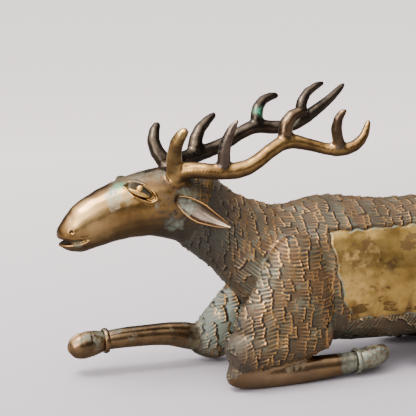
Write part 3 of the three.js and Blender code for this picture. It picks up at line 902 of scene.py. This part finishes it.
# ------------------------------------------------------------------ castings
def cut_faces(points, quads, owner):
    """Each face's casting, and which faces are on the trunk.

    A face belongs to the solid that it came from, except that the plates are cut out along
    their waved edge, and the left foreleg's fur reaches down over its knee.
    """
    x, y, z = (points[quads[:, 0], k] for k in range(3))
    names = np.array(SKIN_NODES)[owner]
    trunk = np.isin(names, ["body_shell"] + PLATE_NODES)
    names = np.where(trunk, "body_shell", names)
    in_plate = (plate_depth(points)[quads].mean(axis=1) > 0) & (np.abs(y) > FLANK) & trunk
    names = np.where(in_plate & (y < 0), "flank_plate_left", names)
    names = np.where(in_plate & (y >= 0), "flank_plate_right", names)
    knee = (names == "foreleg_left_shank") & (x < -58) & (z > 7 + 0.55 * (x + 98))
    return np.where(knee, "foreleg_left_upper", names), trunk


def nape_of(points):
    """1 on the nape, where the neck's fur runs on to the head casting."""
    corner = spot("head", (0, 0.5, 0))
    behind = points[:, 0] - corner[0] - 0.2 * (points[:, 2] - corner[2] - 42)
    return blend(113, 119, behind)


def build_castings():
    """The castings that meet in one surface: carved together, then parted along the seams."""
    points, quads, owner = rounded_skin(SKIN_NODES, SKIN_CELL, 26)
    names, trunk = cut_faces(points, quads, owner)
    outline = plate_depth(points)
    flank = np.abs(points[quads[:, 0], 1]) > FLANK
    facing = normals(points, quads)

    in_plate = np.isin(names, PLATE_NODES)
    plate = (share_of(points, quads, in_plate, 0) > 0) & (outline > 0)
    fur = share_of(points, quads, np.isin(names, FUR_NODES), 0) > 0
    antler = share_of(points, quads, np.isin(names, ANTLER_NODES), 1)
    near_head = share_of(points, quads, names == "head", 12)
    on_leg = share_of(points, quads, np.char.endswith(names, "_upper"), 0) > 0.5
    head = blend(0.3, 0.8, share_of(points, quads, names == "head", 1))
    nape = nape_of(points) * (head > 0)
    head = head * (1 - nape)

    height, crest, tone, gap = furred(points, on_leg, facing)
    strength = blend(0.75, 0.1, near_head) * (1 - 0.12 * blend(-60, -100, points[:, 0]))
    coat = np.where(fur, (height - 1.1) * strength, 0)
    coat = np.maximum(coat, height * 0.5 * nape)
    rim = bell(outline, 1.2) * share_of(points, quads, trunk & flank, 0)
    dents = 0.25 * ripple(points, 24, 4)
    lumps = 0.22 * ripple(points, 22, 6) + 0.06 * ripple(points, 7, 7)
    carved, dark, rub = carve_head(points)

    shift = np.where(plate, dents - PLATE_SUNK, coat) - 0.9 * rim
    shift = shift * (1 - head) + carved * head
    shift = shift * (1 - antler) + (ANTLER_SWELL + lumps) * antler
    shift += elbow_swell(points) * (1 - plate)
    # depth is painted shade: in the gaps between the tufts, along the plates' sunk rim and in the
    # head's hollows
    depth = np.maximum(gap * np.maximum(strength * fur, 0.5 * nape), rim * 0.35)
    depth = np.where(head > 0.5, dark, depth) * (antler < 0.5)
    crest = np.where(head > 0.5, rub, crest * np.maximum(strength * fur, 0.25 * nape))
    crest = crest * (antler < 0.5)
    points = points + facing * shift[:, None]
    for node in SKIN_NODES:
        part, faces, used = compact(points, quads[names == node])
        edge = blend(3.0, 0.2, outline[used]) if node in PLATE_NODES else 0.0
        add_casting(node, part, faces, crest[used], tone[used], depth[used], edge)


def build_lower_legs():
    """Each leg's hoof and pastern ring."""
    for leg in LEGS:
        hoof, ring = f"{leg}_hoof", f"{leg}_pastern_ring"
        points, quads, _ = rounded_skin([hoof], SKIN_CELL, 40)
        points, dark, rub = carve_hoof(leg, points, quads)
        add_casting(hoof, points, quads, rub, 0.5, dark)
        points, quads, _ = rounded_skin([ring], RING_CELL, 6)
        add_casting(ring, points, quads)


def carve_hoof(leg, points, quads):
    """The cleft between the two toes, and the growth rings round them."""
    low, middle, high = (spot(f"{leg}_hoof", share) for share in (0, 0.5, 1))
    size = high - low
    forward = middle[0] < spot(f"{leg}_pastern_ring", 0.5)[0]
    toe = low[0] if forward else high[0]
    run = np.abs(points[:, 0] - toe) / size[0]
    cleft = bell(points[:, 1] - middle[1], 1.0) * blend(0.85, 0.5, run)
    rings = bell((run - 0.62) * size[0], 0.9) + bell((run - 0.36) * size[0], 0.8) * 0.6
    shift = -1.8 * cleft - 0.25 * rings
    moved = points + normals(points, quads) * shift[:, None]
    ridge = bell(np.abs(points[:, 1] - middle[1]) - 2.6, 0.9) * blend(0.9, 0.6, run)
    # painted shade in the cleft and the rings; the ridges beside the cleft are rubbed bright
    return moved, np.clip(cleft + 0.15 * rings, 0, 1), 0.7 * ridge


def sweep(path, radii, around=14):
    """A round-ended rod along a list of points."""
    path = np.array(path, float)
    radii = np.array(radii, float)
    ahead = np.gradient(path, axis=0)
    ahead /= np.linalg.norm(ahead, axis=1, keepdims=True)
    side = np.cross(ahead, (0.0, 1.0, 0.0))
    side /= np.linalg.norm(side, axis=1, keepdims=True)
    up = np.cross(side, ahead)
    turn = np.linspace(0, 2 * math.pi, around, endpoint=False)
    ring = np.cos(turn)[None, :, None] * side[:, None] + np.sin(turn)[None, :, None] * up[:, None]
    points = (path[:, None] + ring * radii[:, None, None]).reshape(-1, 3)
    grid = np.arange(len(points)).reshape(len(path), around)
    quads = [grid[:-1], np.roll(grid[:-1], -1, axis=1), np.roll(grid[1:], -1, axis=1), grid[1:]]
    return points, np.stack(quads, axis=-1).reshape(-1, 4)


def rounded_rod(path, radius, steps=24):
    """A rod through the given points that swells to its radius and closes at both ends."""
    path = np.array(path, float)
    share = np.linspace(0, 1, steps)
    spots = np.linspace(0, 1, len(path))
    middle = np.stack([np.interp(share, spots, path[:, k]) for k in range(3)], axis=1)
    for _ in range(6):
        middle[1:-1] = (middle[:-2] + 2 * middle[1:-1] + middle[2:]) / 4
    swell = np.clip(np.sin(math.pi * np.clip(share, 0.004, 0.996)), 0, 1) ** 0.45
    return sweep(middle, radius * swell)


def build_eyes():
    """A dull ball in each socket with the lower lid and pupil standing on it; their bright gold is
    partly a painted highlight.
    """
    for side, sign in SIDES.items():
        centre = eye_middle(side)
        turn = np.linspace(0.02, math.pi - 0.02, 28)
        ball = np.stack([-np.cos(turn) * EYE_SIZE[0], 0 * turn, 0 * turn], axis=1)
        points, quads = sweep(ball, EYE_SIZE[1] * np.sin(turn) ** 0.8, 28)
        points[:, 1] *= 0.6
        tilt = math.atan2(EYE_SLOPE[1], EYE_SLOPE[0])
        x = points[:, 0] * math.cos(tilt) + (points[:, 2] + 1.0) * math.sin(tilt)
        z = (points[:, 2] + 1.0) * math.cos(tilt) - points[:, 0] * math.sin(tilt)
        points = np.stack([x, points[:, 1] - EYE_INSET * sign, z], axis=1) + centre
        bright = np.zeros(len(points))
        for path, radius, shine in ((EYE_BAND, 2.1, 1), (EYE_BEAD, 2.6, 1), (EYE_LID, 1.0, 0.55)):
            rod, rod_quads = rounded_rod(np.array(path) * (1, sign, 1) + centre, radius)
            quads = np.concatenate([quads, rod_quads + len(points)])
            points = np.concatenate([points, rod])
            bright = np.concatenate([bright, np.full(len(rod), shine)])
        add_casting(f"eye_{side}", points, quads, bright)


def build_ears():
    """A leaf-shaped cup with a rolled rim, on the line from the ear's root to its tip."""
    share = np.linspace(0, 1, 60)
    turn = np.linspace(0, 2 * math.pi, 72, endpoint=False)
    s = share[:, None]
    q = -np.cos(turn)[None, :]
    front = (turn < math.pi)[None, :]
    half = 8.8 * np.sin(math.pi * np.clip(share, 0.003, 0.975) ** 0.78) ** 0.7
    half = half * np.where(share > 0.5, 1 - 0.1 * np.sin(2 * math.pi * (share - 0.5)), 1)
    cup = -5.0 * (1 - q**2) * np.sin(math.pi * s**0.8) ** 0.7
    roll = bell(1 - np.abs(q), 0.2)
    thick = (1.3 + 1.5 * roll) * np.minimum(1, np.sqrt(1 - q**2 + 1e-6) / 0.32)
    lift = cup + np.where(front, 1, -1) * thick * np.sin(math.pi * np.clip(s, 0.01, 0.99)) ** 0.3
    bend = 1.5 * np.sin(math.pi * s)
    grid = np.arange(len(share) * len(turn)).reshape(len(share), len(turn))
    ring = [grid[:-1], np.roll(grid[:-1], -1, 1), np.roll(grid[1:], -1, 1), grid[1:]]
    quads = np.stack(ring, axis=-1).reshape(-1, 4)
    rub = np.broadcast_to(roll, grid.shape).ravel()
    # painted shade inside the cup near its root
    dark = np.broadcast_to(0.55 * front * bell(s - 0.16, 0.1) * (1 - q**2), grid.shape).ravel()
    for side, sign in SIDES.items():
        node = f"ear_{side}"
        inner, outer = (0, 1) if sign > 0 else (1, 0)
        root = spot(node, (0, inner, 1), (3, 2 * sign, -5))
        tip = spot(node, (1, outer, 0), (1.5, 0, 1.5))
        length = np.linalg.norm(tip - root)
        ahead = (tip - root) / length
        face = np.array([-0.30, sign * 0.9, 0.28])
        face -= ahead * (face @ ahead)
        face /= np.linalg.norm(face)
        across = np.cross(face, ahead) * sign
        points = (
            root
            + ahead * (s * length)[..., None]
            + across * (half[:, None] * q + bend)[..., None]
            + face * lift[..., None]
        ).reshape(-1, 3)
        add_casting(node, points, quads, 0.9 * rub, 0.5, dark)


build_castings()
build_lower_legs()
build_eyes()
build_ears()


# ------------------------------------------------------------------ studio
def floor_material():
    """Pale matt paper to the camera; it throws back less light than it shows."""
    n = Nodes("floor_paper")
    n.shader.inputs["Roughness"].default_value = 0.9
    seen = n.tree.nodes.new("ShaderNodeLightPath").outputs["Is Camera Ray"]
    # painted light: the paper is coloured from grey in front to pale towards the back
    far = n.ramp(n.y, -0.3, 1.2, shape="LINEAR")
    paper = n.mix(far, (0.33, 0.305, 0.35, 1), (0.86, 0.75, 0.75, 1))
    n.link(n.mix(seen, (0.26, 0.25, 0.25, 1), paper), n.shader.inputs["Base Color"])
    return n.material


def area_light(name, place, target, size, power, color=(1, 1, 1)):
    data = bpy.data.lights.new(name, "AREA")
    data.shape = "RECTANGLE"
    data.size, data.size_y = size
    data.energy = power
    data.color = color
    light = bpy.data.objects.new(name, data)
    light.location = place
    aim = Vector(target) - Vector(place)
    light.rotation_euler = aim.to_track_quat("-Z", "Y").to_euler()
    bpy.context.scene.collection.objects.link(light)


def build_world():
    """A pale backdrop to the camera; for light, bright overhead and dim near the horizon."""
    world = bpy.data.worlds.new("studio")
    bpy.context.scene.world = world
    world.use_nodes = True
    tree = world.node_tree
    background = tree.nodes["Background"]
    direction = tree.nodes.new("ShaderNodeTexCoord").outputs["Generated"]
    lean = tree.nodes.new("ShaderNodeVectorMath")
    lean.operation = "DOT_PRODUCT"
    lean.inputs[1].default_value = (-0.42, -0.12, 0.9)
    tree.links.new(direction, lean.inputs[0])
    level = tree.nodes.new("ShaderNodeMapRange")
    level.interpolation_type = "SMOOTHSTEP"
    limits = {"From Min": 0.35, "From Max": 0.98, "To Min": 0.16, "To Max": 4.2}
    for name, limit in limits.items():
        level.inputs[name].default_value = limit
    tree.links.new(lean.outputs["Value"], level.inputs["Value"])
    seen = tree.nodes.new("ShaderNodeLightPath").outputs["Is Camera Ray"]
    color = tree.nodes.new("ShaderNodeMix")
    color.data_type = "RGBA"
    tree.links.new(seen, color.inputs[0])
    tree.links.new(level.outputs["Result"], color.inputs[6])
    color.inputs[7].default_value = (2.75, 2.35, 2.3, 1)
    tree.links.new(color.outputs[2], background.inputs["Color"])


def build_studio():
    low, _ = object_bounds()
    bpy.ops.mesh.primitive_plane_add(size=14, location=(0, 0, low[2]))
    floor = bpy.context.object
    floor.name = "floor"
    floor.data.materials.append(floor_material())
    build_world()
    area_light("key", (-0.7, -0.15, 1.45), (0, 0, 0.1), (0.7, 0.7), 32, (1.0, 0.97, 0.93))
    area_light("left", (-1.3, -0.85, 0.55), (0, 0, 0.1), (0.8, 0.8), 14, (1.0, 0.97, 0.94))
    area_light("right", (1.3, -1.2, 0.7), (0, 0, 0.1), (0.6, 0.9), 0.8)


def build_camera():
    """A little above the stag's back, turned 20 degrees towards its head."""
    turn, lift = math.radians(-20), math.radians(12)
    back = Vector(
        (math.sin(turn) * math.cos(lift), -math.cos(turn) * math.cos(lift), math.sin(lift))
    )
    data = bpy.data.cameras.new("camera")
    data.sensor_width = 36
    data.lens = 119.2
    data.clip_end = 50
    camera = bpy.data.objects.new("camera", data)
    camera.location = Vector((-0.09, 0, 0.1587)) + back * 1.24
    camera.rotation_mode = "QUATERNION"
    camera.rotation_quaternion = (-back).to_track_quat("-Z", "Y")
    bpy.context.scene.collection.objects.link(camera)
    bpy.context.scene.camera = camera


build_studio()
build_camera()
